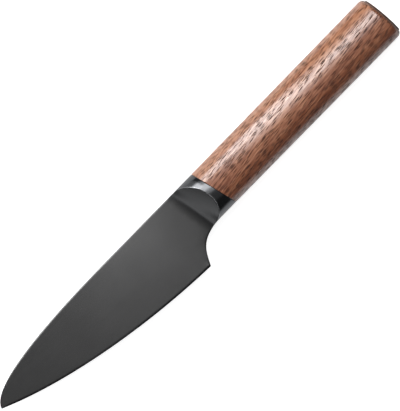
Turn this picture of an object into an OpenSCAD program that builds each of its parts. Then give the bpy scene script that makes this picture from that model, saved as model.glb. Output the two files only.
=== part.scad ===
// Fruit knife: a flat-ground blade with a stick tang, an oval bolster pushed on over the tang,
// and an oval wooden handle that is drilled for the tang and set in epoxy.
// It lies on its side. Each piece is drawn with the blade's tip at x = 0, the handle's axis along x,
// the spine towards +y and the blade's mid plane at z = 0. set_down() then moves it into place.
// The plunge, the shoulders and the wood's joint all lean by one angle. A leaning line is named
// by its place on the axis, the x at which it crosses y = 0.

/* [Blade outline] */
// Length of the cutting edge, from tip to heel
edge_l = 108.5; // [90:0.5:130]
// Depth of the heel below the handle's axis
heel_drop = 23; // [18:0.5:30]
// Depth of the tip below the handle's axis
tip_drop = 1; // [0:0.5:5]
// Height of the blunt nose at the very tip
tip_nose = 0.3; // [0.2:0.05:0.6]
// Length of the curved part of the spine, from the tip
spine_curve_l = 75.6; // [60:0.2:84]
// Run of the hollow behind the heel, along the axis
choil_l = 16.5; // [14:0.5:20]

/* [Blade section] */
// Thickness of the spine ahead of the plunge
spine_t = 2.1; // [1.6:0.05:3]
// Thickness of the flats at the tip
tip_t = 0.5; // [0.4:0.05:0.8]
// Thickness of the flats at the heel
heel_t = 0.44; // [0.36:0.02:0.6]
// Width of the ground edge bevel
bevel_w = 0.95; // [0.5:0.05:1.5]
// Thickness left at the very edge
apex_t = 0.08; // [0.04:0.01:0.12]
// Width of the eased corners of spine and hollow
corner_ease = 0.25; // [0.1:0.05:0.4]

/* [Ricasso and shoulders] */
// Lean of plunge, shoulders and wood joint from square, in degrees
lean = 12.8; // [0:0.2:16]
// Set-back of the plunge behind the heel
plunge_back = 8.95; // [7:0.05:12]
// Length of the plunge from flat to ricasso
plunge_l = 4; // [3:0.1:7]
// Thickness of the ricasso
ricasso_t = 3.8; // [3.6:0.1:5.4]
// Depth of the arched shoulders
shoulder_l = 8.6; // [5:0.1:9]
// Width of the arched shoulders
shoulder_w = 22.7; // [20:0.1:22.8]
// Radius of the hollow that rises to each shoulder
shoulder_r = 120; // [40:5:200]
// Draft of the shoulder walls, in degrees
shoulder_draft = 5; // [1:0.5:8]

/* [Bolster] */
// Depth of the ricasso's seat behind the shoulders
seat_l = 1; // [0.6:0.1:2]
// Length of the closed collar behind the seat
collar_l = 2.45; // [2:0.05:6]
// Clearance around the tang in the collar, filled by the braze
braze_gap = 0.05; // [0.02:0.01:0.1]

/* [Handle] */
// Length of the wood along the axis
handle_l = 106.1; // [90:0.1:130]
// Height of the handle at the wood's joint
joint_h = 22.5; // [22.4:0.1:26]
// Thickness of the handle at the wood's joint
joint_t = 16.5; // [15.5:0.1:20]
// Height of the handle at the butt
butt_h = 23; // [22.5:0.1:27]
// Thickness of the handle at the butt
butt_t = 17; // [16:0.1:21]
// Lean of the butt from square, in degrees
butt_lean = 3.9; // [0:0.1:8]
// Rise of the domed butt
butt_crown = 0.75; // [0.3:0.05:2]
// Radius of the corner round the butt
butt_r = 2.5; // [1:0.1:4]
// Eased corner where wood and bolster meet
joint_ease = 0.3; // [0.1:0.05:0.4]

/* [Tang] */
// Length of the tang behind the ricasso
tang_l = 76; // [50:1:80]
// Width of the tang at its root
tang_root_w = 9; // [7:0.1:9.4]
// Width of the tang at its end
tang_end_w = 6.5; // [5:0.1:7]
// Thickness of the tang
tang_t = 3; // [2:0.1:3.4]
// Diameter of the bore in the wood
bore_d = 10.5; // [10.2:0.1:13]
// Depth of the bore past the tang's end
bore_past = 3; // [1:0.5:8]
// Radius of the glue notches in the tang
notch_r = 1; // [0.5:0.1:1.4]

/* [Hidden] */

// Counts of steps along the curves, and of points round the oval
edge_steps = 46;
choil_steps = 16;
plunge_steps = 18;
oval_steps = 64;
arch_steps = 32;
butt_steps = 5;
$fn = 64;

// Handles of the three outline curves, as shares of each curve's run and rise
edge_shares = [[0.267, 0.586], [0.647, 0.93]];
spine_shares = [[0.04, 0.673], [0.386, 1]];
choil_shares = [[0.163, 0.467], [0.234, 1]];
// Crowding of the steps towards the tip, and where along the edge the steps begin to lean
tip_crowding = 1.7;
lean_start_share = 0.35;
// Most of a section's height that one corner cut may take
cut_limit_share = 0.3;
// Share of the ricasso's half thickness that is rounded into its rim
rim_share = 0.55;
// Sides of a blade section that are its two flats, named by the first of their two points
flat_sides = [1, 5];
// Rings of the domed butt, as shares of its half height
crown_shares = [0.75, 0.5, 0.25];
// Places of the glue notches along the tang
notch_shares = [0.4, 0.6, 0.8];

// Places on the axis, from the tip backwards
plunge_x = edge_l + plunge_back;
floor_x = plunge_x + plunge_l;
shoulder_x = floor_x + shoulder_l / cos(lean);
seat_x = shoulder_x + seat_l;
joint_x = seat_x + collar_l;
butt_x = joint_x + handle_l;
tang_end_x = seat_x + tang_l;
bore_end_x = tang_end_x + bore_past;

// Reach of cuts past what they cut, and the depth by which joined solids run into each other
over = butt_h;
sink = corner_ease / 8;

function mix(a, b, k) = a + (b - a) * k;
function smooth(k) = let (c = min(max(k, 0), 1)) c * c * (3 - 2 * c);

// The handle's half height and half thickness at a place on the axis, carried on into the bolster
function half_h(x) = mix(joint_h, butt_h, (x - joint_x) / handle_l) / 2;
function half_t(x) = mix(joint_t, butt_t, (x - joint_x) / handle_l) / 2;

// Points on the leaning line through x on the axis, at height y, and the other way round
function on_line(x, y) = [x - y * tan(lean), y];
function axis_x(p) = p[0] + p[1] * tan(lean);

// A cubic curve from a to b whose two handles are shares of its run and rise
function handles(a, b, shares) = [
    a,
    [mix(a[0], b[0], shares[0][0]), mix(a[1], b[1], shares[0][1])],
    [mix(a[0], b[0], shares[1][0]), mix(a[1], b[1], shares[1][1])],
    b
];
function curve(p, k) =
    p[0] * pow(1 - k, 3) + 3 * p[1] * k * pow(1 - k, 2) + 3 * p[2] * k * k * (1 - k) + p[3] * pow(k, 3);
// The share of a curve at which its x, or its place on the axis, reaches a value, found by halving
function share_at_x(p, x, low = 0, high = 1, n = 24) = let (k = (low + high) / 2)
    n == 0 ? k : curve(p, k)[0] < x ? share_at_x(p, x, k, high, n - 1) : share_at_x(p, x, low, k, n - 1);
function share_at_axis(p, x, low = 0, high = 1, n = 24) = let (k = (low + high) / 2)
    n == 0 ? k : axis_x(curve(p, k)) < x ? share_at_axis(p, x, k, high, n - 1) : share_at_axis(p, x, low, k, n - 1);

// The blade's outline: edge, spine and the hollow behind the heel
spine_h = half_h(floor_x);
heel = [edge_l, -heel_drop];
choil_end_x = edge_l + choil_l;
edge_curve = handles([0, -tip_drop - tip_nose / 2], heel, edge_shares);
spine_curve = handles([0, -tip_drop + tip_nose / 2], [spine_curve_l, spine_h], spine_shares);
choil_curve = handles(heel, on_line(choil_end_x, -half_h(choil_end_x)), choil_shares);

function spine_at(x) = x < spine_curve_l ? curve(spine_curve, share_at_x(spine_curve, x)) : [x, spine_h];
function top_at(x) = on_line(x, max(spine_h, half_h(x)));
function under_at(x) = x < choil_end_x ? curve(choil_curve, share_at_axis(choil_curve, x)) : on_line(x, -half_h(x));

// Each side of the blade is one flat plane, thinner towards the edge and towards the tip
rise_y = (spine_t - heel_t) / 2 / (spine_h + heel_drop);
rise_x = (heel_t / 2 + (heel_drop - tip_drop) * rise_y - tip_t / 2) / edge_l;
function flat_z(p) = max(heel_t / 2 + (p[1] + heel_drop) * rise_y + (p[0] - edge_l) * rise_x, apex_t);
// The plunge swells from that plane to the flat sides of the ricasso
function plunge_k(x) = smooth((x - plunge_x) / plunge_l);
function blade_z(p) = mix(flat_z(p), ricasso_t / 2, plunge_k(axis_x(p)));

// How far the oval's rim drops at the faces of the ricasso
rim_drop = half_h(floor_x) * (1 - sqrt(1 - pow(ricasso_t / 2 / half_t(floor_x), 2)));
function rim_y(x) = mix(corner_ease, rim_drop, plunge_k(x));
function rim_z(x) = mix(corner_ease, ricasso_t / 2 * rim_share, plunge_k(x));

// One section of the blade, from its lower point to its upper one.
// cut and foot_z are the height of the lower corner cut and the half thickness left at its foot.
function section(low, top, cut, foot_z) =
    let (
        tall = norm(top - low),
        up = (top - low) / tall,
        x = axis_x(top),
        shoulder = low + up * min(cut, tall * cut_limit_share),
        corner = top - up * min(rim_y(x), tall * cut_limit_share),
        crest_z = max(blade_z(corner) - rim_z(x), apex_t / 2),
        side = [[low, foot_z], [shoulder, blade_z(shoulder)], [corner, blade_z(corner)], [top, crest_z]]
    )
    concat(
        [for (s = side) [s[0][0], s[0][1], -s[1]]],
        [for (i = [3:-1:0]) [side[i][0][0], side[i][0][1], side[i][1]]]
    );

function edge_section(k) =
    let (
        low = curve(edge_curve, k),
        turn = smooth((low[0] / edge_l - lean_start_share) / (1 - lean_start_share)),
        top = spine_at(low[0] - (spine_h - low[1]) * tan(lean) * turn)
    )
    section(low, top, bevel_w, apex_t / 2);

function choil_section(x) =
    let (low = under_at(x), top = top_at(x))
    section(low, top, rim_y(x), max(blade_z(low) - rim_z(x), apex_t / 2));

// An oval section on the leaning line through x, drawn in by inset
function oval_section(x, inset = 0, tilt = lean, out = 0) = [
    for (i = [0:oval_steps - 1])
        let (a = 360 * i / oval_steps, y = (half_h(x) - inset) * cos(a))
        [x + out - y * tan(tilt), y, (half_t(x) - inset) * sin(a)]
];

// A solid skinned over a row of sections with equal counts of points.
// Over the first flat_n sections, each side named in flat_sides is one plane and becomes one face.
module skin(sections, flat_n = 1, flat_sides = []) {
    n = len(sections[0]);
    last = (len(sections) - 1) * n;
    flat_end = (flat_n - 1) * n;
    polyhedron(
        points = [for (s = sections) each s],
        faces = [
            [for (j = [0:n - 1]) j],
            for (i = [0:n:last - n], j = [0:n - 1])
                if (i >= flat_end || len(search(j, flat_sides)) == 0)
                    let (k = (j + 1) % n)
                    each [[i + j, i + n + j, i + n + k], [i + j, i + n + k, i + k]],
            for (j = flat_sides)
                concat([for (i = [0:n:flat_end]) i + j], [for (i = [flat_end:-n:0]) i + j + 1]),
            [for (j = [n - 1:-1:0]) last + j]
        ]
    );
}

// Everything ahead of the leaning line through x
module ahead_of(x) {
    translate([x, 0, 0]) rotate([0, 0, lean]) translate([-over * 6, -over * 3, -over * 3]) cube(over * 6);
}

// The arched space over one face of the ricasso, open towards the blade, with drafted walls
module arch() {
    low_z = -sink;
    top_z = over / 2;
    function rim(z) =
        let (grow = z * tan(shoulder_draft), l = shoulder_l - half_t(floor_x) * tan(shoulder_draft) + grow)
        concat(
            [for (i = [0:arch_steps]) let (a = 180 * i / arch_steps - 90) [l * cos(a), (shoulder_w / 2 + grow) * sin(a), z]],
            [[-over, shoulder_w / 2 + grow, z], [-over, -shoulder_w / 2 - grow, z]]
        );
    translate([floor_x, 0, ricasso_t / 2]) rotate([0, 0, lean]) skin([rim(low_z), rim(top_z)]);
}

module both_faces() {
    children();
    mirror([0, 0, 1]) children();
}

// The oval bar that bolster and ricasso are cut from
module bar(back_x) {
    skin([oval_section(plunge_x), oval_section(back_x - joint_ease), oval_section(back_x, joint_ease)]);
}

// The hollow floor inside one arch, rising from the ricasso's face to the foot of the shoulder's wall
module shoulder_floor() {
    intersection() {
        arch();
        bar(joint_x);
        difference() {
            translate([floor_x, 0, 0]) rotate([0, 0, lean]) translate([0, -over, ricasso_t / 4]) cube([over, over * 2, over]);
            translate([floor_x, 0, ricasso_t / 2 - sink + shoulder_r]) rotate([0, 0, lean]) rotate([90, 0, 0])
                cylinder(r = shoulder_r, h = over * 2, center = true, $fn = 128);
        }
    }
}

module tang() {
    root_x = seat_x - collar_l;
    linear_extrude(tang_t, center = true) difference() {
        union() {
            polygon([
                [root_x, tang_root_w / 2],
                [tang_end_x - tang_end_w / 2, tang_end_w / 2],
                [tang_end_x - tang_end_w / 2, -tang_end_w / 2],
                [root_x, -tang_root_w / 2]
            ]);
            translate([tang_end_x - tang_end_w / 2, 0]) circle(d = tang_end_w);
        }
        for (s = notch_shares, side = [-1, 1])
            translate([mix(seat_x, tang_end_x, s), side * mix(tang_root_w, tang_end_w, s) / 2]) circle(notch_r);
    }
}

module bore() {
    start_x = joint_x - bore_d;
    translate([start_x, 0, 0]) rotate([0, 90, 0]) cylinder(d = bore_d, h = bore_end_x - start_x);
}

module blade() {
    edge_sections = [for (i = [0:edge_steps]) edge_section(pow(i / edge_steps, tip_crowding))];
    choil_sections = [
        for (i = [1:choil_steps])
            choil_section(axis_x(curve(choil_curve, i / choil_steps * share_at_axis(choil_curve, plunge_x))))
    ];
    ricasso_sections = [
        for (i = [1:plunge_steps]) choil_section(plunge_x + plunge_l * i / plunge_steps),
        choil_section(choil_end_x),
        choil_section(seat_x)
    ];
    color("dimgray") {
        skin(
            concat(edge_sections, choil_sections, ricasso_sections),
            len(edge_sections) + len(choil_sections),
            flat_sides
        );
        both_faces() shoulder_floor();
        tang();
    }
}

module bolster() {
    color("#202124") difference() {
        bar(joint_x);
        ahead_of(floor_x);
        both_faces() arch();
        intersection() {
            ahead_of(seat_x);
            translate([floor_x, 0, 0]) cube([over * 2, over * 2, ricasso_t], center = true);
        }
        translate([seat_x, 0, 0])
            cube([over, tang_root_w + 2 * braze_gap, tang_t + 2 * braze_gap], center = true);
    }
}

module handle() {
    // The corner is a quarter round and the end a shallow dome, both on the leaning end plane
    end_x = butt_x - butt_crown;
    corner = [
        for (i = [0:butt_steps])
            let (a = 90 * i / butt_steps)
            oval_section(end_x, butt_r * (1 - cos(a)), butt_lean, -butt_r * (1 - sin(a)))
    ];
    dome = [
        for (s = crown_shares)
            oval_section(end_x, butt_h / 2 * (1 - s), butt_lean, butt_crown * (1 - s * s))
    ];
    color("#8a5a3c") difference() {
        skin(concat([oval_section(joint_x, joint_ease), oval_section(joint_x + joint_ease)], corner, dome));
        bore();
    }
}

module tang_epoxy() {
    color("burlywood") difference() {
        bore();
        ahead_of(joint_x);
        tang();
    }
}

module set_down() {
    translate([-butt_x / 2, (heel_drop - butt_h / 2) / 2, butt_t / 2]) children();
}

set_down() blade();
set_down() bolster();
set_down() handle();
set_down() tang_epoxy();
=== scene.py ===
import math

import bmesh
import bpy
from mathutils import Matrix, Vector


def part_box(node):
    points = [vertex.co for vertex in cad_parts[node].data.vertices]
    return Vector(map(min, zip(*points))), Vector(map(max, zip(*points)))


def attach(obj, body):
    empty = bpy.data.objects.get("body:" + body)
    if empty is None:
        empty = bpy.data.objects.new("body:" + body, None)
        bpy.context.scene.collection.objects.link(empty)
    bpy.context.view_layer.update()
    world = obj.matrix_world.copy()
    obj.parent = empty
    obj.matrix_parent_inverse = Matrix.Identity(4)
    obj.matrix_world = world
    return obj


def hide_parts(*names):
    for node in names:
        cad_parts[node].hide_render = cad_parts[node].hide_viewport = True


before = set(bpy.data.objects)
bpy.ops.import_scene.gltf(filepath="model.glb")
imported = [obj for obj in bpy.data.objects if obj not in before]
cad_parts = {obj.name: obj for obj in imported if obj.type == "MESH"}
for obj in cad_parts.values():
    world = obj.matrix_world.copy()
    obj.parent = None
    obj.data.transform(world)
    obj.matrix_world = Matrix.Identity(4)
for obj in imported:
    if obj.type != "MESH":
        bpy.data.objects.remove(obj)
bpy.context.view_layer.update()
print("frame loaded")

mm = 0.001
weldDistance = 0.002  # points of a mesh nearer than this, in millimetres, are one

# The knife's own axes, in millimetres: x from the tip along the handle, y up to the spine, z from the middle
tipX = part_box("blade")[0].x
axisY = (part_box("handle")[0].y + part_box("handle")[1].y) / 2
axisZ = (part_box("handle")[0].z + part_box("handle")[1].z) / 2

# Sizes that several pieces share, in millimetres and degrees. A name that ends in X is a place on the axis.
knife = {
    "lean": 12.8,  # of the shoulders and the wood joint
    "floorX": 121.45,  # front of the shoulder floors
    "seatX": 131.269,  # back of the ricasso
    "jointX": 133.719,  # wood against bolster
    "handleLength": 106.1,
    "jointHeight": 22.5,
    "jointThickness": 16.5,
    "buttHeight": 23.0,
    "buttThickness": 17.0,
    "jointEase": 0.3,  # radius of the edges on both sides of the joint
    "jointEaseSteps": 3,
    "ricassoThickness": 3.8,
    "archDepth": 8.45,
    "archWidth": 22.7,
    "archTurn": 6.4,  # of an arch's axis from the knife's
    "archDraft": 1.0,
    "plungeSkew": 0.1,  # how much less the plunge leans than the shoulders, as a slope
    "plungeCrossing": 7.0,  # the height over the axis at which the two lines cross
    "tangLength": 76.0,
    "tangRoot": 9.0,
    "tangEnd": 6.5,
    "tangThickness": 3.0,
}
leanTan = math.tan(math.radians(knife["lean"]))
leanCos = math.cos(math.radians(knife["lean"]))
archSin = math.sin(math.radians(knife["archTurn"]))
draftTan = math.tan(math.radians(knife["archDraft"]))


def place(x, y, z):
    return Vector((tipX + x * mm, axisY + y * mm, axisZ + z * mm))


def mix(a, b, k):
    return a + (b - a) * k


def smooth(k):
    k = min(max(k, 0.0), 1.0)
    return k * k * (3 - 2 * k)


def smoother(k):
    k = min(max(k, 0.0), 1.0)
    return k**3 * (k * (6 * k - 15) + 10)


def alongHandle(atJoint, atButt, x):
    return mix(atJoint, atButt, (x - knife["jointX"]) / knife["handleLength"])


def halfHeight(x):
    return alongHandle(knife["jointHeight"], knife["buttHeight"], x) / 2


def halfThickness(x):
    return alongHandle(knife["jointThickness"], knife["buttThickness"], x) / 2


# A leaning line is named by the place where it crosses the axis
def onLine(x, y):
    return (x - y * leanTan, y)


def axisPlace(point):
    return point[0] + point[1] * leanTan


def plungePlace(x, y):
    # The same for the plunge's own lines, which lean less
    return x + y * leanTan + (knife["plungeCrossing"] - y) * knife["plungeSkew"]


def ovalPoint(x, turn, inset=0.0, tilt=leanTan, out=0.0):
    # A point of the oval section that crosses the axis at x, at one turn round it from the spine
    y = (halfHeight(x) - inset) * math.cos(turn)
    return place(x + out - y * tilt, y, (halfThickness(x) - inset) * math.sin(turn))


# Each arched shoulder is half an ellipse that grows with its height over the ricasso
def archSize(z):
    grow = (z - knife["ricassoThickness"] / 2) * draftTan
    depth = knife["archDepth"] - halfThickness(knife["floorX"]) * draftTan + grow
    return depth, knife["archWidth"] / 2 + grow


def archShare(x, y, z, margin=0.0):
    # Below 1 inside the arch. x is the place on the axis of the leaning line through the point.
    depth, half = archSize(z)
    along = (x - knife["floorX"]) * leanCos
    over = y / leanCos - (x - knife["floorX"]) * archSin
    share = math.hypot(along / (depth + margin), over / (half + margin))
    return share, math.atan2(over / half, along / depth)


def archPoint(angle, z):
    depth, half = archSize(z)
    along, over = depth * math.cos(angle), half * math.sin(angle)
    y = (over + along / leanCos * archSin) * leanCos
    return place(knife["floorX"] + along / leanCos - y * leanTan, y, z)


def cornerArc(radius, steps):
    # Inset and distance from the end, at each step of a corner of this radius
    angles = [math.pi / 2 * k / steps for k in range(1, steps + 1)]
    return [(radius * (1 - math.cos(angle)), radius * (1 - math.sin(angle))) for angle in angles]


def findShare(measure, value, low=0.0, high=1.0, halvings=40):
    # The share at which a rising measure reaches the value
    for _ in range(halvings):
        middle = (low + high) / 2
        if measure(middle) < value:
            low = middle
        else:
            high = middle
    return (low + high) / 2


def clearSelection():
    if bpy.context.object and bpy.context.object.mode != "OBJECT":
        bpy.ops.object.mode_set(mode="OBJECT")
    bpy.ops.object.select_all(action="DESELECT")


def namePiece(name):
    # The primitive that was just added gets its name, and its place goes into its mesh
    piece = bpy.context.object
    piece.name = name
    piece.data.name = name
    bpy.ops.object.transform_apply(location=True, rotation=True, scale=True)
    return piece


def makeActive(piece):
    clearSelection()
    piece.select_set(True)
    bpy.context.view_layer.objects.active = piece


def applyModifier(piece, kind, **settings):
    makeActive(piece)
    modifier = piece.modifiers.new(kind.lower(), kind)
    for key, value in settings.items():
        setattr(modifier, key, value)
    bpy.ops.object.modifier_apply(modifier=modifier.name)


def cutWith(piece, cutter, operation="DIFFERENCE"):
    applyModifier(piece, "BOOLEAN", object=cutter, operation=operation, solver="EXACT")
    bpy.data.objects.remove(cutter)


def startRings(name, count, front, back):
    # An open tube of two rings, whose points keep the number of their ring and their step round it
    clearSelection()
    bpy.ops.mesh.primitive_cylinder_add(vertices=count, radius=1, depth=2, end_fill_type="NOTHING")
    piece = namePiece(name)
    bpy.ops.object.mode_set(mode="EDIT")
    mesh = bmesh.from_edit_mesh(piece.data)
    ringLayer = mesh.verts.layers.int.new("ring")
    stepLayer = mesh.verts.layers.int.new("step")
    for vert in mesh.verts:
        vert[ringLayer] = 1 if vert.co.z > 0 else 0
        vert[stepLayer] = round(math.atan2(vert.co.y, vert.co.x) / (2 * math.pi / count)) % count
        vert.co = (back if vert[ringLayer] else front)(vert[stepLayer])
    bmesh.update_edit_mesh(piece.data)
    return piece


def extrudeRing(piece, ring, newRing, pointOf, keeps=None):
    # Extrudes the edges of one ring and puts each new point where pointOf says
    bpy.ops.mesh.select_mode(type="EDGE")
    bpy.ops.mesh.select_all(action="DESELECT")
    mesh = bmesh.from_edit_mesh(piece.data)
    ringLayer = mesh.verts.layers.int["ring"]
    stepLayer = mesh.verts.layers.int["step"]
    for edge in mesh.edges:
        if all(v[ringLayer] == ring and (keeps is None or keeps(v[stepLayer])) for v in edge.verts):
            edge.select_set(edge.is_boundary)
    bmesh.update_edit_mesh(piece.data)
    bpy.ops.mesh.extrude_edges_move(TRANSFORM_OT_translate={"value": (0, 0, 0)})
    mesh = bmesh.from_edit_mesh(piece.data)
    ringLayer = mesh.verts.layers.int["ring"]
    stepLayer = mesh.verts.layers.int["step"]
    for vert in mesh.verts:
        if vert.select:
            vert[ringLayer] = newRing
            vert.co = pointOf(vert[stepLayer])
    bmesh.update_edit_mesh(piece.data)


def closeBoundary(piece, chosen=None):
    # Fills what is still open with one face, after its doubles are merged
    bpy.ops.mesh.select_all(action="SELECT")
    bpy.ops.mesh.remove_doubles(threshold=weldDistance * mm)
    bpy.ops.mesh.select_mode(type="EDGE")
    bpy.ops.mesh.select_all(action="DESELECT")
    mesh = bmesh.from_edit_mesh(piece.data)
    for edge in mesh.edges:
        edge.select_set(edge.is_boundary and (chosen is None or all(chosen(v.co) for v in edge.verts)))
    bmesh.update_edit_mesh(piece.data)
    bpy.ops.mesh.edge_face_add()


def endRings(piece):
    bpy.ops.mesh.select_all(action="SELECT")
    bpy.ops.mesh.normals_make_consistent(inside=False)
    bpy.ops.object.mode_set(mode="OBJECT")
    for name in ("ring", "step"):
        piece.data.attributes.remove(piece.data.attributes[name])


def shadeByAngle(piece, degrees):
    makeActive(piece)
    bpy.ops.object.shade_smooth_by_angle(angle=math.radians(degrees))
    clearSelection()


# Materials


def newMaterial(name):
    material = bpy.data.materials.new(name)
    material.use_nodes = True
    tree = material.node_tree
    return material, tree, next(n for n in tree.nodes if n.type == "BSDF_PRINCIPLED")


def addNode(tree, kind, inputs=None, **settings):
    node = tree.nodes.new(kind)
    for key, value in settings.items():
        setattr(node, key, value)
    for key, value in (inputs or {}).items():
        if isinstance(value, bpy.types.NodeSocket):
            tree.links.new(value, node.inputs[key])
        else:
            node.inputs[key].default_value = value
    return node


def compute(tree, operation, a, b=0.0):
    return addNode(tree, "ShaderNodeMath", {0: a, 1: b}, operation=operation).outputs[0]


def remap(tree, value, band, toMin, toMax, kind="LINEAR"):
    # The part of the value that lies in the band, spread from one result to the other
    inputs = {"Value": value, "From Min": band[0], "From Max": band[1], "To Min": toMin, "To Max": toMax}
    return addNode(tree, "ShaderNodeMapRange", inputs, interpolation_type=kind).outputs["Result"]


def ramp(tree, source, positions, colours):
    node = addNode(tree, "ShaderNodeValToRGB", {"Fac": source})
    elements = node.color_ramp.elements
    while len(elements) < len(positions):
        elements.new(0.5)
    for element, position, colour in zip(elements, positions, colours):
        element.position = position
        element.color = (*colour, 1)
    return node.outputs["Color"]


def colourSocket(sockets, name):
    # A Mix node has a socket of each name for every kind of value
    return next(socket for socket in sockets if socket.identifier == name + "_Color")


def mixColours(tree, factor, a, b):
    node = addNode(tree, "ShaderNodeMix", {"Factor": factor}, data_type="RGBA")
    for name, value in (("A", a), ("B", b)):
        socket = colourSocket(node.inputs, name)
        if isinstance(value, bpy.types.NodeSocket):
            tree.links.new(value, socket)
        else:
            socket.default_value = (*value, 1)
    return colourSocket(node.outputs, "Result")


def spread(middle, reach):
    # The values as far below and above the middle as the reach
    return middle - reach, middle + reach


def objectCoordinates(tree):
    return addNode(tree, "ShaderNodeTexCoord").outputs["Object"]


def stretched(tree, along, across, turn=0.0):
    # Object coordinates, turned round the vertical, with so many units per millimetre along and across
    inputs = {"Vector": objectCoordinates(tree), "Rotation": (0, 0, math.radians(turn))}
    turned = addNode(tree, "ShaderNodeMapping", inputs, vector_type="TEXTURE").outputs["Vector"]
    scale = (along / mm, across / mm, across / mm)
    return addNode(tree, "ShaderNodeMapping", {"Vector": turned, "Scale": scale}).outputs["Vector"]


noiseBand = (0.3, 0.7)  # between these values a finish goes from one of its ends to the other


def noise(tree, vector, detail, roughness=0.55):
    inputs = {"Vector": vector, "Scale": 1.0, "Detail": detail, "Roughness": roughness}
    return addNode(tree, "ShaderNodeTexNoise", inputs).outputs["Fac"]


def addRelief(tree, shader, height, finish):
    inputs = {
        "Height": height,
        "Strength": finish["reliefStrength"],
        "Distance": finish["reliefHeight"] * mm,
    }
    tree.links.new(addNode(tree, "ShaderNodeBump", inputs).outputs["Normal"], shader.inputs["Normal"])


satinPattern = {
    "cloudDetail": 4.0,
    "lineDetail": 3.0,
    "lineStretch": 0.03,  # of the lines' scale along the knife to that across it
}


def makeSatinGroup():
    # Faint clouds and very fine lines, which all the steel finishes share
    group = bpy.data.node_groups.new("satin_variation", "ShaderNodeTree")
    for name in ("Clouds per Metre", "Lines per Metre"):
        group.interface.new_socket(name, in_out="INPUT", socket_type="NodeSocketFloat")
    for name in ("Clouds", "Lines"):
        group.interface.new_socket(name, in_out="OUTPUT", socket_type="NodeSocketFloat")
    given = addNode(group, "NodeGroupInput").outputs
    results = addNode(group, "NodeGroupOutput").inputs
    coordinates = objectCoordinates(group)
    inputs = {"Vector": coordinates, "Scale": (satinPattern["lineStretch"], 1.0, 1.0)}
    lengthwise = addNode(group, "ShaderNodeMapping", inputs).outputs["Vector"]
    patterns = {
        "Clouds": (coordinates, satinPattern["cloudDetail"]),
        "Lines": (lengthwise, satinPattern["lineDetail"]),
    }
    for name, (vector, detail) in patterns.items():
        inputs = {"Vector": vector, "Scale": given[name + " per Metre"], "Detail": detail}
        pattern = addNode(group, "ShaderNodeTexNoise", inputs)
        group.links.new(pattern.outputs["Fac"], results[name])
    return group


satinGroup = makeSatinGroup()


def paintShadeAtPlunge(tree, colour, paintedShade):
    # Painted shade: its darker colour comes in along the knife, over lines that lean as the plunge does
    axes = addNode(tree, "ShaderNodeSeparateXYZ", {"Vector": objectCoordinates(tree)}).outputs
    overAxis = compute(tree, "SUBTRACT", axes["Y"], axisY)
    leaning = compute(tree, "MULTIPLY", overAxis, leanTan - knife["plungeSkew"])
    along = compute(tree, "ADD", axes["X"], leaning)
    shift = knife["plungeCrossing"] * knife["plungeSkew"]
    band = [tipX + (x - shift) * mm for x in (paintedShade["startX"], paintedShade["endX"])]
    return mixColours(tree, remap(tree, along, band, 0.0, 1.0, "SMOOTHSTEP"), colour, paintedShade["colour"])


def makeSteel(name, finish):
    material, tree, shader = newMaterial(name)
    satin = addNode(tree, "ShaderNodeGroup", node_tree=satinGroup)
    satin.inputs["Clouds per Metre"].default_value = finish["cloudsPerMetre"]
    satin.inputs["Lines per Metre"].default_value = finish["linesPerMetre"]
    shades = [tuple(c * (1 + s * finish["shadeSpread"]) for c in finish["colour"]) for s in (-1, 1)]
    colour = ramp(tree, satin.outputs["Clouds"], noiseBand, shades)
    if "paintedShade" in finish:
        colour = paintShadeAtPlunge(tree, colour, finish["paintedShade"])
    tree.links.new(colour, shader.inputs["Base Color"])
    low, high = spread(finish["roughness"], finish["roughnessSpread"])
    tree.links.new(remap(tree, satin.outputs["Lines"], noiseBand, low, high), shader.inputs["Roughness"])
    addRelief(tree, shader, satin.outputs["Lines"], finish)
    shader.inputs["Metallic"].default_value = finish["metallic"]
    return material


blackFinish = {
    "colour": (0.149, 0.149, 0.15),
    "shadeSpread": 0.07,
    "metallic": 1.0,
    "roughness": 0.23,
    "roughnessSpread": 0.02,
    "cloudsPerMetre": 45.0,
    "linesPerMetre": 2400.0,
    "reliefStrength": 0.015,
    "reliefHeight": 0.05,
}
# The hollow floors are painted darker, as shade in the recess under the bolster's shoulders. Their colour
# comes in on the plunge, from one place on the axis to the other.
hollowShadeFade = {"colour": (0.07, 0.071, 0.073), "startX": 118.0, "endX": 121.8}
hollowShadeFinish = dict(blackFinish, paintedShade=hollowShadeFade)
# The ground edge: a little rougher steel, painted darker as shade on the bevel
edgeShadeFinish = dict(blackFinish, colour=(0.055, 0.055, 0.057), roughness=0.25)
glossFinish = dict(
    blackFinish, colour=(0.1, 0.102, 0.107), roughness=0.2, roughnessSpread=0.015, reliefStrength=0.01
)
cornerHighlightFinish = dict(glossFinish, colour=(0.27, 0.275, 0.285))  # the arches' corners, painted brighter as their highlight
blackSteel = makeSteel("satin_black_steel", blackFinish)
hollowShadeSteel = makeSteel("hollow_floor_painted_shade_steel", hollowShadeFinish)
edgeShadedSteel = makeSteel("ground_edge_shaded_steel", edgeShadeFinish)
glossSteel = makeSteel("gloss_black_steel", glossFinish)
cornerHighlightSteel = makeSteel("corner_painted_highlight_steel", cornerHighlightFinish)

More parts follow.
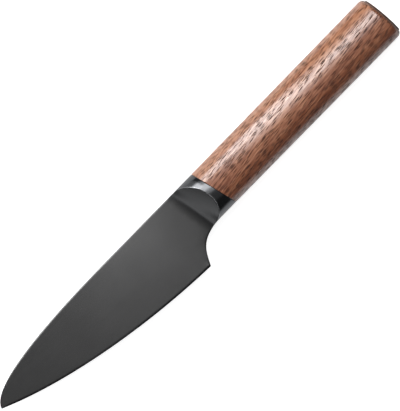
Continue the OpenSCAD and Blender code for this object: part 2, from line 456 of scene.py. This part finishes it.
walnutFinish = {
    "grainTurn": 7.0,  # of the grain from the handle's axis, in degrees
    # Three grains of noise, with their units per millimetre and their share in the wood's tone
    "figure": {"along": 0.012, "across": 0.16, "detail": 4.0, "roughness": 0.55, "share": 0.3},
    "streaks": {"along": 0.07, "across": 1.25, "detail": 3.0, "roughness": 0.55, "share": 0.3},
    "fibres": {"along": 0.16, "across": 2.4, "detail": 4.0, "roughness": 0.65, "share": 0.4},
    "dark": (0.175, 0.049, 0.02),
    "middle": (0.31, 0.111, 0.053),
    "light": (0.5, 0.225, 0.12),
    "tones": (0.41, 0.5, 0.59),  # at which the wood is dark, middle and light
    "spineLight": 0.085,  # how much paler the spine's side is than the other: painted light, paler towards the lamps and darker on the shaded side
    "pore": (0.04, 0.015, 0.009),
    "poreLength": 4.6,
    "poreWidth": 0.36,
    "poreWall": (0.3, 0.5),  # where a pore ends, in parts of its cell
    "poreChoice": (0.15, 0.45),  # cells drawn below this band hold no pore, and above it a deep one
    "poreShade": 0.9,
    "endGrainAndShade": (0.05, 0.02, 0.012),  # of the butt, which soaks up the oil, and painted darker as shade on the butt's rounded rim
    "endGrainFacing": (0.3, 0.85),  # how far a face turns to the butt as the end grain and its painted shade come in
    "endGrainShade": 0.85,
    "roughness": 0.5,
    "roughnessSpread": 0.1,
    "polishBand": (0.35, 0.65),  # of the fibres, from the smooth ones to the rough ones
    "poreRoughness": 0.8,
    "fibreHeight": 0.25,
    "poreHeight": 0.5,
    "reliefStrength": 0.9,
    "reliefHeight": 0.25,
    "sheen": 0.3,  # of the bare wood
    "oilRoughness": 0.2,
    "oilIor": 1.9,
    "oilGap": (0.05, 0.6),  # of the pores, over which the oil ends
    "oilFibres": (0.38, 0.55),  # of the fibres, from thin oil to full oil
    "oilThin": 0.7,
}


def woodTone(tree, finish, grains):
    parts = [compute(tree, "MULTIPLY", grain, finish[kind]["share"]) for kind, grain in grains.items()]
    tone = compute(tree, "ADD", parts[0], compute(tree, "ADD", parts[1], parts[2]))
    # Painted light: the tone rises towards the spine's side, which faces the lamps, and falls on the shaded
    # side
    axes = addNode(tree, "ShaderNodeSeparateXYZ", {"Vector": objectCoordinates(tree)}).outputs
    band = spread(axisY, knife["buttHeight"] / 2 * mm)
    paintedLight = remap(tree, axes["Y"], band, -finish["spineLight"], finish["spineLight"])
    tone = compute(tree, "ADD", tone, paintedLight)
    return ramp(tree, tone, finish["tones"], [finish[shade] for shade in ("dark", "middle", "light")])


def woodPores(tree, finish):
    # Open pores are long thin cells, of which only some are deep
    cell = stretched(tree, 1 / finish["poreLength"], 1 / finish["poreWidth"], finish["grainTurn"])
    cells = addNode(tree, "ShaderNodeTexVoronoi", {"Vector": cell, "Scale": 1.0}, feature="F1").outputs
    narrow = remap(tree, cells["Distance"], finish["poreWall"], 1.0, 0.0, "SMOOTHSTEP")
    drawn = addNode(tree, "ShaderNodeSeparateColor", {"Color": cells["Color"]}).outputs["Red"]
    return compute(tree, "MULTIPLY", narrow, remap(tree, drawn, finish["poreChoice"], 0.0, 1.0))


def woodButtShade(tree, finish):
    # Rises from 0 on the sides to the end grain's share where the surface faces backwards: the butt's own
    # end grain, and painted shade on its rounded rim
    normal = addNode(tree, "ShaderNodeTexCoord").outputs["Normal"]
    facing = addNode(tree, "ShaderNodeSeparateXYZ", {"Vector": normal}).outputs["X"]
    return remap(tree, facing, finish["endGrainFacing"], 0.0, finish["endGrainShade"], "SMOOTHSTEP")


def makeWalnut(name, finish):
    material, tree, shader = newMaterial(name)
    grains = {}
    for kind in ("figure", "streaks", "fibres"):
        grain = finish[kind]
        vector = stretched(tree, grain["along"], grain["across"], finish["grainTurn"])
        grains[kind] = noise(tree, vector, grain["detail"], grain["roughness"])
    fibres = grains["fibres"]
    pores = woodPores(tree, finish)
    butt = woodButtShade(tree, finish)
    colour = woodTone(tree, finish, grains)
    colour = mixColours(tree, compute(tree, "MULTIPLY", pores, finish["poreShade"]), colour, finish["pore"])
    colour = mixColours(tree, butt, colour, finish["endGrainAndShade"])
    tree.links.new(colour, shader.inputs["Base Color"])
    low, high = spread(finish["roughness"], finish["roughnessSpread"])
    polished = remap(tree, fibres, finish["polishBand"], low, high)
    inputs = {"Factor": pores, "A": polished, "B": finish["poreRoughness"]}
    tree.links.new(addNode(tree, "ShaderNodeMix", inputs).outputs["Result"], shader.inputs["Roughness"])
    raised = compute(tree, "MULTIPLY", fibres, finish["fibreHeight"])
    height = compute(tree, "SUBTRACT", raised, compute(tree, "MULTIPLY", pores, finish["poreHeight"]))
    addRelief(tree, shader, height, finish)
    # The oil's gloss lies over the wood and is broken by the pores
    overPores = remap(tree, pores, finish["oilGap"], 1.0, 0.0)
    overFibres = remap(tree, fibres, finish["oilFibres"], finish["oilThin"], 1.0)
    oil = compute(tree, "MULTIPLY", overPores, overFibres)
    oil = compute(tree, "MULTIPLY", oil, compute(tree, "SUBTRACT", 1.0, butt))
    tree.links.new(oil, shader.inputs["Coat Weight"])
    shader.inputs["Coat Roughness"].default_value = finish["oilRoughness"]
    shader.inputs["Coat IOR"].default_value = finish["oilIor"]
    shader.inputs["Specular IOR Level"].default_value = finish["sheen"]
    return material


walnut = makeWalnut("oiled_walnut", walnutFinish)

resinFinish = {
    "cloudy": (0.5, 0.36, 0.16),
    "clear": (0.68, 0.53, 0.3),
    "cloudBand": (0.35, 0.65),
    "cloudsPerMm": 0.4,
    "cloudDetail": 3.0,
    "roughness": 0.3,
}


def makeResin(name, finish):
    material, tree, shader = newMaterial(name)
    vector = stretched(tree, finish["cloudsPerMm"], finish["cloudsPerMm"])
    clouds = noise(tree, vector, finish["cloudDetail"])
    colour = ramp(tree, clouds, finish["cloudBand"], (finish["cloudy"], finish["clear"]))
    tree.links.new(colour, shader.inputs["Base Color"])
    shader.inputs["Roughness"].default_value = finish["roughness"]
    return material


resin = makeResin("cured_resin", resinFinish)
print("materials made")


# Blade

bladeShape = {
    "edgeLength": 108.5,
    "heelDrop": 23.0,
    "tipDrop": 1.0,
    "tipNose": 0.3,
    "spineCurveLength": 75.6,
    "hollowLength": 16.5,
    # The handles of the three curves, in parts of the way from start to end along and up
    "edgeHandles": ((0.267, 0.586), (0.647, 0.93)),
    "spineHandles": ((0.04, 0.673), (0.386, 1.0)),
    "hollowHandles": ((0.163, 0.467), (0.234, 1.0)),
    "spineThickness": 2.1,
    "tipThickness": 0.5,
    "heelThickness": 0.44,
    "bevelWidth": 0.95,
    "edgeThickness": 0.08,
    "flareX": 99.0,  # where the flats begin to rise gently towards the plunge
    "flareDepth": 0.4,
    "plungeX": 115.4,
    "plungeEndX": 122.3,
    "plungeCurve": 1.8,  # above 1 the plunge starts softly and ends short
    "easeWidth": 0.4,
    "easeDepth": 0.27,
    "easeMost": 0.6,  # of the half thickness
    "easeCurve": 1.25,
    "hollowEase": 0.55,
    "hollowRelief": 0.09,  # how far the flat falls away over reliefWidth towards the hollow edge
    "reliefWidth": 5.0,
    "floorRadius": 120.0,
    "floorCross": 740.0,  # twice the radius of the floor's hollow from spine to hollow edge
    "floorCrossStart": 3.0,  # over which that hollow comes in, along the knife
    "floorMargin": 0.3,  # between the floor's end and the shoulder's wall
    "floorEnding": 0.06,  # over which the hollow ends, in parts of the arch
    "edgeColumns": 120,
    "hollowColumns": 28,
    "plungeColumns": 36,
    "floorColumns": 20,
    "tipCrowding": 1.6,  # above 1 the columns stand closer towards the tip
    "leanFrom": 0.35,  # of the edge, where its upright columns begin to lean
    "innerRows": 42,
    "innerLow": 1.3,  # of the first inner row over the column's lower end
    "innerHigh": 0.8,  # and of the last one under its upper end
    "rimRows": (0.0, 0.1, 0.2, 0.3, 0.41, 0.57),  # the close rows, from either end
    "bevelRows": (-0.2, -0.03, 0.0, 0.05),  # from the bevel's upper line
    "fullColumn": 6.0,  # below this height a column's close rows draw together
    "rimLeast": 0.02,  # nearest to the rim that the oval is followed
    "bevelSearch": 1.1,  # a bevel's face lies within this height over the edge
    "flatNormal": 0.995,  # and points less squarely sideways than this
    "hollowShadeLead": 0.3,  # how far the floors' steel, which carries the painted shade, starts before the shade comes in
    "smoothAngle": 20,
}
spineHeight = halfHeight(knife["floorX"])


def curveWithHandles(a, b, shares):
    inner = [(mix(a[0], b[0], s[0]), mix(a[1], b[1], s[1])) for s in shares]
    return [a, *inner, b]


def onCurve(curve, k):
    weights = ((1 - k) ** 3, 3 * k * (1 - k) ** 2, 3 * k * k * (1 - k), k**3)
    return tuple(sum(w * p[axis] for w, p in zip(weights, curve)) for axis in (0, 1))


heel = (bladeShape["edgeLength"], -bladeShape["heelDrop"])
hollowEndX = bladeShape["edgeLength"] + bladeShape["hollowLength"]
hollowEnd = onLine(hollowEndX, -halfHeight(hollowEndX))
spineCurveEnd = (bladeShape["spineCurveLength"], spineHeight)
noseLow, noseTop = ((0, y) for y in spread(-bladeShape["tipDrop"], bladeShape["tipNose"] / 2))
edgeCurve = curveWithHandles(noseLow, heel, bladeShape["edgeHandles"])
spineCurve = curveWithHandles(noseTop, spineCurveEnd, bladeShape["spineHandles"])
hollowCurve = curveWithHandles(heel, hollowEnd, bladeShape["hollowHandles"])


def placeOnHollow(k):
    return axisPlace(onCurve(hollowCurve, k))


def bladeColumns():
    # Lower and upper end of each column of points, from the tip to the back of the ricasso, and whether
    # the lower end is on the cutting edge
    shape = bladeShape
    columns = []
    for i in range(shape["edgeColumns"] + 1):
        low = onCurve(edgeCurve, (i / shape["edgeColumns"]) ** shape["tipCrowding"])
        turn = smooth((low[0] / shape["edgeLength"] - shape["leanFrom"]) / (1 - shape["leanFrom"]))
        x = low[0] - (spineHeight - low[1]) * leanTan * turn
        top = (x, spineHeight)
        if x < shape["spineCurveLength"]:
            top = onCurve(spineCurve, findShare(lambda k: onCurve(spineCurve, k)[0], x))
        columns.append((low, top, True))
    steps = shape["hollowColumns"]
    last = findShare(placeOnHollow, shape["plungeX"])
    places = [placeOnHollow(last * i / steps) for i in range(1, steps + 1)]
    for start, end, steps in (
        (shape["plungeX"], shape["plungeEndX"], shape["plungeColumns"]),
        (shape["plungeEndX"], knife["seatX"], shape["floorColumns"]),
    ):
        places += [mix(start, end, i / steps) for i in range(1, steps + 1)]
    for x in places:
        low = onLine(x, -halfHeight(x))
        if x < hollowEndX:
            low = onCurve(hollowCurve, findShare(placeOnHollow, x))
        columns.append((low, onLine(x, max(spineHeight, halfHeight(x))), False))
    return columns


# How much the flats thicken per millimetre, upwards and along the knife
flatRise = (bladeShape["spineThickness"] - bladeShape["heelThickness"]) / 2
upwardRise = flatRise / (spineHeight + bladeShape["heelDrop"])
flatAtTip = bladeShape["heelThickness"] / 2 + (bladeShape["heelDrop"] - bladeShape["tipDrop"]) * upwardRise
lengthRise = (flatAtTip - bladeShape["tipThickness"] / 2) / bladeShape["edgeLength"]


def bladeHalf(x, y):
    # Half thickness: a flat that flares gently, the plunge up to the ricasso, then the shoulders' floor
    shape = bladeShape
    rise = (y + shape["heelDrop"]) * upwardRise + (x - shape["edgeLength"]) * lengthRise
    flat = max(shape["heelThickness"] / 2 + rise, shape["edgeThickness"])
    beyond = plungePlace(x, y)
    flare = max(beyond - shape["flareX"], 0) / (shape["plungeX"] - shape["flareX"])
    climb = (beyond - shape["plungeX"]) / (shape["plungeEndX"] - shape["plungeX"])
    plunge = smoother(max(climb, 0) ** shape["plungeCurve"])
    z = mix(flat + shape["flareDepth"] * flare**2, knife["ricassoThickness"] / 2, plunge)
    across = axisPlace((x, y))
    inside = (across - knife["floorX"]) * leanCos
    if inside > 0:
        # The hollow ends just inside the shoulder's wall
        share = archShare(across, y, knife["ricassoThickness"] / 2, shape["floorMargin"])[0]
        along = shape["floorRadius"] - math.sqrt(shape["floorRadius"] ** 2 - inside**2)
        hollow = along + y**2 / shape["floorCross"] * smooth(inside / shape["floorCrossStart"])
        z += hollow * (1 - smooth((share - 1) / shape["floorEnding"]))
    return z, plunge


def easedHalf(z, fromRim, plunge, x, width):
    # The eased corner of spine and hollow, which grows into the oval rim of the bolster
    depth = min(bladeShape["easeDepth"], bladeShape["easeMost"] * z)
    eased = z - depth * (1 - min(fromRim / width, 1.0)) ** bladeShape["easeCurve"]
    share = min((halfHeight(x) - max(fromRim, bladeShape["rimLeast"])) / halfHeight(x), 1.0)
    oval = halfThickness(x) * math.sqrt(1 - share**2)
    return mix(eased, min(z, oval), plunge)


def lowRows(onEdge):
    bevel = bladeShape["bevelWidth"]
    if onEdge:
        return (0.0, bevel / 2, *(bevel + row for row in bladeShape["bevelRows"]))
    return bladeShape["rimRows"]


def pointOfBlade(column, row, rowCount):
    # Place and half thickness of one point of the grid, with close rows at the edge and at the rims
    shape = bladeShape
    low, high, onEdge = column
    tall = math.dist(low, high)
    shrink = min(1.0, tall / shape["fullColumn"])
    closeRows = len(shape["rimRows"])
    if row < closeRows:
        fromLow = lowRows(onEdge)[row] * shrink
    elif row >= rowCount - closeRows:
        fromLow = tall - shape["rimRows"][rowCount - 1 - row] * shrink
    else:
        share = (row - closeRows) / (rowCount - 2 * closeRows - 1)
        fromLow = mix(shape["innerLow"] * shrink, tall - shape["innerHigh"] * shrink, share)
    x, y = (mix(low[axis], high[axis], fromLow / tall) for axis in (0, 1))
    z, plunge = bladeHalf(x, y)
    if fromLow > tall / 2:
        z = easedHalf(z, tall - fromLow, plunge, axisPlace((x, y)), shape["easeWidth"])
    elif not onEdge:
        relief = max(1 - fromLow / shape["reliefWidth"], 0.0) * (1 - plunge)
        z -= shape["hollowRelief"] * relief**2
        z = easedHalf(z, fromLow, plunge, axisPlace((x, y)), shape["hollowEase"])
    elif fromLow < shape["bevelWidth"] * shrink:
        z = mix(shape["edgeThickness"] / 2, z, fromLow / (shape["bevelWidth"] * shrink))
    return x, y, z


def makeBlade():
    # A flat grid in the middle plane, which gets its thickness point by point
    clearSelection()
    columns = bladeColumns()
    rowCount = bladeShape["innerRows"] + 2 * len(bladeShape["rimRows"])
    bpy.ops.mesh.primitive_grid_add(x_subdivisions=len(columns) - 1, y_subdivisions=rowCount - 1, size=2)
    piece = namePiece("blade_steel")
    halves = []
    for vert in piece.data.vertices:
        i = round((vert.co.x + 1) / 2 * (len(columns) - 1))
        j = round((vert.co.y + 1) / 2 * (rowCount - 1))
        x, y, z = pointOfBlade(columns[i], j, rowCount)
        vert.co = place(x, y, 0)
        halves.append(z)
    thickest = max(halves)
    group = piece.vertex_groups.new(name="thickness")
    for index, z in enumerate(halves):
        group.add([index], z / thickest, "REPLACE")
    applyModifier(piece, "SOLIDIFY", thickness=2 * thickest * mm, offset=0, vertex_group="thickness")
    piece.vertex_groups.clear()
    return piece


tangShape = {
    "inRicasso": 1.0,  # how far the tang reaches into the ricasso before the two are joined
    "ease": 0.5,
    "easeSteps": 2,
    "notchPlaces": (0.4, 0.6, 0.8),  # of the tang's length
    "notchRadius": 1.0,
    "notchDepth": 6.0,
    "notchSides": 32,
}


def makeTang():
    clearSelection()
    start, end = knife["seatX"] - tangShape["inRicasso"], knife["seatX"] + knife["tangLength"]
    middle = place((start + end) / 2, 0, 0)
    size = ((end - start) * mm, knife["tangRoot"] * mm, knife["tangThickness"] * mm)
    bpy.ops.mesh.primitive_cube_add(size=1, location=middle, scale=size)
    tang = namePiece("tang")
    for vert in tang.data.vertices:
        if vert.co.x > middle.x:
            vert.co.y = axisY + (vert.co.y - axisY) * knife["tangEnd"] / knife["tangRoot"]
    applyModifier(tang, "BEVEL", width=tangShape["ease"] * mm, segments=tangShape["easeSteps"])
    # Notches that the glue locks into
    for share in tangShape["notchPlaces"]:
        for side in (-1, 1):
            y = side * mix(knife["tangRoot"], knife["tangEnd"], share) / 2
            clearSelection()
            bpy.ops.mesh.primitive_cylinder_add(
                vertices=tangShape["notchSides"],
                radius=tangShape["notchRadius"] * mm,
                depth=tangShape["notchDepth"] * mm,
                location=place(mix(knife["seatX"], end, share), y, 0),
            )
            cutWith(tang, namePiece("notch"))
    return tang


def steelOf(face):
    shape = bladeShape
    x = (face.center.x - tipX) / mm
    y = (face.center.y - axisY) / mm
    if x >= shape["edgeLength"]:
        # The floors' faces, and a little before them, take the steel with the painted shade
        onFloor = plungePlace(x, y) > hollowShadeFade["startX"] - shape["hollowShadeLead"]
        return hollowShadeSteel if onFloor else blackSteel
    # The bevel is measured along the columns, so its own slope tells it from the flats
    edgeY = onCurve(edgeCurve, findShare(lambda k: onCurve(edgeCurve, k)[0], x))[1]
    onBevel = y - edgeY < shape["bevelSearch"] and abs(face.normal.z) < shape["flatNormal"]
    return edgeShadedSteel if onBevel else blackSteel


blade = makeBlade()
cutWith(blade, makeTang(), "UNION")
bladeSteels = (blackSteel, edgeShadedSteel, hollowShadeSteel)
blade.data.materials.clear()
for steel in bladeSteels:
    blade.data.materials.append(steel)
for face in blade.data.polygons:
    face.material_index = bladeSteels.index(steelOf(face))
shadeByAngle(blade, bladeShape["smoothAngle"])
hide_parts("blade")
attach(blade, "root")
print("blade made")


# Bolster

bolsterShape = {
    "cheekSteps": 84,
    "rimSteps": 12,
    "cornerBack": 0.45,  # how far an arch's rounded corner reaches back
    "cornerDown": 0.3,  # and down its wall
    "cornerMost": 0.4,  # of a low wall
    "cornerSteps": 6,
    "tangSlotLength": 12.0,
    "tangSlotRoom": 0.1,
    "smoothAngle": 30,
}


def makeBolster():
    cheek, rim = bolsterShape["cheekSteps"], bolsterShape["rimSteps"]
    cornerBack, cornerDown = bolsterShape["cornerBack"], bolsterShape["cornerDown"]
    slotTurn = math.asin(knife["ricassoThickness"] / 2 / halfThickness(knife["floorX"]))
    turns = [mix(-slotTurn, slotTurn, i / rim) for i in range(rim)]
    turns += [mix(slotTurn, math.pi - slotTurn, i / cheek) for i in range(cheek)]
    turns += [turn + math.pi for turn in turns]
    slotZ = halfThickness(knife["seatX"]) * math.sin(slotTurn)

    def onCheek(step):
        # The first point of a rim also ends the cheek before it
        stepOfHalf = step % (cheek + rim)
        return stepOfHalf == 0 or stepOfHalf >= rim

    def wallOf(step):
        # The sharp corner of one shoulder at this turn of the oval, and the foot of its wall
        turn, side = turns[step], math.copysign(1, math.sin(turns[step]))

        def share(x):
            z = abs(halfThickness(x) * math.sin(turn))
            return archShare(x, halfHeight(x) * math.cos(turn), z)

        x = findShare(lambda q: share(q)[0], 1.0, knife["floorX"], knife["seatX"])
        foot = archPoint(share(x)[1], slotZ)
        foot.z = axisZ + side * slotZ * mm
        return x, ovalPoint(x, turn), foot

    def cornerPoint(step, k):
        # A curve from a little behind the sharp corner to a little below it
        x, corner, foot = wallOf(step)
        reach = min(cornerDown, (foot - corner).length / mm * bolsterShape["cornerMost"])
        behind = ovalPoint(x + reach / cornerDown * cornerBack, turns[step])
        below = corner
        if reach > weldDistance / 2:
            below = corner + (foot - corner).normalized() * reach * mm
        return behind * (1 - k) ** 2 + corner * 2 * k * (1 - k) + below * k * k

    def slotPoint(step):
        y = halfHeight(knife["seatX"]) * math.cos(turns[step])
        side = math.copysign(1, math.sin(turns[step]))
        return place(knife["seatX"] - y * leanTan, y, side * slotZ)

    back = knife["jointX"]
    ease = knife["jointEase"]
    piece = startRings(
        "bolster_collar",
        len(turns),
        lambda step: ovalPoint(knife["seatX"], turns[step]),
        lambda step: ovalPoint(back - ease, turns[step]),
    )
    ring = 1
    for inset, ahead in cornerArc(ease, knife["jointEaseSteps"]):
        extrudeRing(piece, ring, ring + 1, lambda step: ovalPoint(back, turns[step], inset, out=-ahead))
        ring += 1
    closeBoundary(piece, lambda co: axisPlace(((co.x - tipX) / mm, (co.y - axisY) / mm)) > back - ease / 2)
    last = 0
    for k in range(bolsterShape["cornerSteps"] + 1):
        share = k / bolsterShape["cornerSteps"]
        extrudeRing(piece, last, ring + 1, lambda step: cornerPoint(step, share), onCheek)
        ring += 1
        last = ring
    # The corners' faces get the second steel, whose brighter colour is a painted highlight
    mesh = bmesh.from_edit_mesh(piece.data)
    ringLayer = mesh.verts.layers.int["ring"]
    for face in mesh.faces:
        if all(last - bolsterShape["cornerSteps"] <= v[ringLayer] <= last for v in face.verts):
            face.material_index = 1
    extrudeRing(piece, last, ring + 1, lambda step: wallOf(step)[2], onCheek)
    extrudeRing(piece, ring + 1, ring + 2, slotPoint, onCheek)
    closeBoundary(piece)
    endRings(piece)
    piece.data.materials.append(glossSteel)
    piece.data.materials.append(cornerHighlightSteel)
    clearSelection()
    slotSize = (
        bolsterShape["tangSlotLength"] * mm,
        (knife["tangRoot"] + bolsterShape["tangSlotRoom"]) * mm,
        (knife["tangThickness"] + bolsterShape["tangSlotRoom"]) * mm,
    )
    bpy.ops.mesh.primitive_cube_add(size=1, location=place(knife["seatX"], 0, 0), scale=slotSize)
    cutWith(piece, namePiece("tang_slot"))
    return piece


bolster = makeBolster()
shadeByAngle(bolster, bolsterShape["smoothAngle"])
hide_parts("bolster")
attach(bolster, "root")
print("bolster made")


# Handle

handleShape = {
    "steps": 192,
    "buttLean": 3.9,
    "buttCrown": 0.75,
    "buttRadius": 2.5,
    "cornerSteps": 10,
    "crownRings": (0.85, 0.7, 0.55, 0.4, 0.25, 0.12),
    "boreDiameter": 10.5,
    "boreSides": 64,
    "borePast": 3.0,  # how far it is drilled past the tang's end
    "drillAhead": 10.0,  # how far the drill stands out of the wood's front
    "smoothAngle": 30,
}


def makeHandle():
    shape = handleShape
    front, ease = knife["jointX"], knife["jointEase"]
    end = front + knife["handleLength"] - shape["buttCrown"]
    buttTan = math.tan(math.radians(shape["buttLean"]))

    def turnOf(step):
        return 2 * math.pi * step / shape["steps"]

    piece = startRings(
        "walnut_grip",
        shape["steps"],
        lambda step: ovalPoint(front + ease, turnOf(step)),
        lambda step: ovalPoint(end, turnOf(step), 0.0, buttTan, -shape["buttRadius"]),
    )
    ring = 1
    for inset, ahead in cornerArc(shape["buttRadius"], shape["cornerSteps"]):
        extrudeRing(piece, ring, ring + 1, lambda step: ovalPoint(end, turnOf(step), inset, buttTan, -ahead))
        ring += 1
    for share in shape["crownRings"]:
        inset = knife["buttHeight"] / 2 * (1 - share)
        crown = shape["buttCrown"] * (1 - share**2)
        extrudeRing(piece, ring, ring + 1, lambda step: ovalPoint(end, turnOf(step), inset, buttTan, crown))
        ring += 1
    closeBoundary(piece, lambda co: co.x > place((front + end) / 2, 0, 0).x)
    last = 0
    for inset, ahead in cornerArc(ease, knife["jointEaseSteps"]):
        extrudeRing(piece, last, ring + 1, lambda step: ovalPoint(front, turnOf(step), inset, out=ahead))
        ring += 1
        last = ring
    closeBoundary(piece)
    endRings(piece)
    clearSelection()
    drillStart = front - shape["drillAhead"]
    boreEnd = knife["seatX"] + knife["tangLength"] + shape["borePast"]
    bpy.ops.mesh.primitive_cylinder_add(
        vertices=shape["boreSides"],
        radius=shape["boreDiameter"] / 2 * mm,
        depth=(boreEnd - drillStart) * mm,
        location=place((boreEnd + drillStart) / 2, 0, 0),
        rotation=(0, math.pi / 2, 0),
    )
    cutWith(piece, namePiece("bore"))
    return piece


handle = makeHandle()
handle.data.materials.clear()
handle.data.materials.append(walnut)
shadeByAngle(handle, handleShape["smoothAngle"])
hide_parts("handle")
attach(handle, "root")
print("handle made")

# The resin bed round the tang keeps its CAD shape
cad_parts["tang_epoxy"].material_slots[0].material = resin


# Studio

studio = {
    "floorRadius": 4.0,
    "floorSides": 128,
    # Growth and rise, step by step, of the floor's raised edge
    "floorEdge": ((1.05, 0.03), (1.04, 0.08), (1.03, 0.16), (1.01, 0.26)),
    "floorSmoothAngle": 60,
    "floorColour": (0.6, 0.6, 0.6),
    "floorShade": 0.99,  # of the colour, where the floor is darkest
    "cloudsPerMm": 0.002,
    "cloudDetail": 2.0,
    "floorRoughness": 0.9,
    "floorGlow": 0.88,  # of the floor to the camera
    "floorMirror": 0.48,  # of the floor in reflections
    "edgeMirror": 0.1,  # of its raised edge in reflections
    "world": 0.06,
    "cameraX": 0.0042,
    "cameraY": 0.0047,
    "cameraTurn": -45.69,
    "cameraHeight": 0.8985,
    "lens": 180.0,
}


def makeFloorWhite(name, reflected):
    # White to the camera, and as bright as given in reflections
    material, tree, shader = newMaterial(name)
    vector = stretched(tree, studio["cloudsPerMm"], studio["cloudsPerMm"])
    dark = tuple(c * studio["floorShade"] for c in studio["floorColour"])
    colour = ramp(tree, noise(tree, vector, studio["cloudDetail"]), noiseBand, (dark, studio["floorColour"]))
    tree.links.new(colour, shader.inputs["Base Color"])
    shader.inputs["Roughness"].default_value = studio["floorRoughness"]
    shader.inputs["Specular IOR Level"].default_value = 0.0
    path = addNode(tree, "ShaderNodeLightPath").outputs
    mirrored = compute(tree, "MAXIMUM", path["Is Glossy Ray"], path["Is Transmission Ray"])
    seen = compute(tree, "MULTIPLY", path["Is Camera Ray"], studio["floorGlow"])
    glow = compute(tree, "ADD", seen, compute(tree, "MULTIPLY", mirrored, reflected))
    tree.links.new(glow, shader.inputs["Emission Strength"])
    shader.inputs["Emission Color"].default_value = (1, 1, 1, 1)
    return material


def makeFloor():
    clearSelection()
    bpy.ops.mesh.primitive_circle_add(
        vertices=studio["floorSides"], radius=studio["floorRadius"], fill_type="NGON"
    )
    floor = namePiece("studio_floor")
    bpy.ops.object.mode_set(mode="EDIT")
    bpy.ops.mesh.select_mode(type="EDGE")
    for grow, rise in studio["floorEdge"]:
        bpy.ops.mesh.select_all(action="DESELECT")
        mesh = bmesh.from_edit_mesh(floor.data)
        for edge in mesh.edges:
            edge.select_set(edge.is_boundary)
        bmesh.update_edit_mesh(floor.data)
        bpy.ops.mesh.extrude_edges_move(TRANSFORM_OT_translate={"value": (0, 0, rise)})
        bpy.ops.transform.resize(value=(grow, grow, 1))
    bpy.ops.object.mode_set(mode="OBJECT")
    shadeByAngle(floor, studio["floorSmoothAngle"])
    for name, reflected in (("studio_white", studio["floorMirror"]), ("studio_edge", studio["edgeMirror"])):
        floor.data.materials.append(makeFloorWhite(name, reflected))
    for face in floor.data.polygons:
        raised = face.center.z > mm
        face.material_index = 1 if raised else 0


makeFloor()


def addAreaLight(name, tilt, size, radiance, x=0.0, distance=0.7, turn=0):
    # In metres, aimed at the axis, x from the knife's middle. Tilt is measured from straight up, and turn
    # round the vertical from +Y.
    light = bpy.data.lights.new(name, "AREA")
    light.shape = "RECTANGLE"
    light.size, light.size_y = size
    light.energy = radiance * math.pi * size[0] * size[1]
    holder = bpy.data.objects.new(name, light)
    bpy.context.scene.collection.objects.link(holder)
    tilt, turn = math.radians(tilt), math.radians(turn)
    away = Vector((math.sin(turn) * math.sin(tilt), math.cos(turn) * math.sin(tilt), math.cos(tilt)))
    holder.location = Vector((x, axisY, axisZ)) + away * distance
    holder.rotation_euler = away.to_track_quat("Z", "Y").to_euler()
    holder.visible_camera = False


# The softbox over the handle is bright in its middle and dim towards its rim, which three lamps stand for.
# A smaller one, nearer the blade and with a dim rim too, lights the bolster. Dim lamps overhead are the
# ceiling, and one beyond the tip is a wall.
lamps = (
    {"name": "softbox_middle", "x": 0.18, "tilt": 24, "size": (0.52, 0.28), "radiance": 3.9},
    {"name": "softbox_field", "x": 0.17, "tilt": 25, "size": (0.54, 0.36), "radiance": 1.15},
    {"name": "softbox_rim", "x": 0.17, "tilt": 25, "size": (0.52, 0.71), "radiance": 1.3},
    {"name": "small_softbox", "x": -0.133, "tilt": 45, "size": (0.38, 0.33), "radiance": 4.9},
    {"name": "small_softbox_rim", "x": -0.17, "tilt": 68, "size": (0.4, 0.5), "radiance": 0.8},
    {"name": "ceiling", "tilt": 5, "distance": 0.8, "size": (1.5, 1.4), "radiance": 0.16},
    {"name": "ceiling_front", "x": -0.3, "tilt": 5, "distance": 0.8, "size": (0.3, 1.4), "radiance": 0.09},
    {"name": "wall", "tilt": 73, "turn": -90, "distance": 0.8, "size": (0.5, 0.2), "radiance": 3.0},
)
for lamp in lamps:
    addAreaLight(**lamp)

world = bpy.data.worlds.new("studio_room")
world.use_nodes = True
background = next(n for n in world.node_tree.nodes if n.type == "BACKGROUND")
background.inputs["Color"].default_value = (1, 1, 1, 1)
background.inputs["Strength"].default_value = studio["world"]
bpy.context.scene.world = world

lens = bpy.data.cameras.new("photo_camera")
lens.lens = studio["lens"]
lens.clip_start = 0.01
lens.clip_end = 50
camera = bpy.data.objects.new("photo_camera", lens)
camera.location = (studio["cameraX"], studio["cameraY"], axisZ + studio["cameraHeight"])
camera.rotation_euler = (0, 0, math.radians(studio["cameraTurn"]))
bpy.context.scene.collection.objects.link(camera)
bpy.context.scene.camera = camera
bpy.context.scene.view_settings.view_transform = "Standard"
print("studio made")
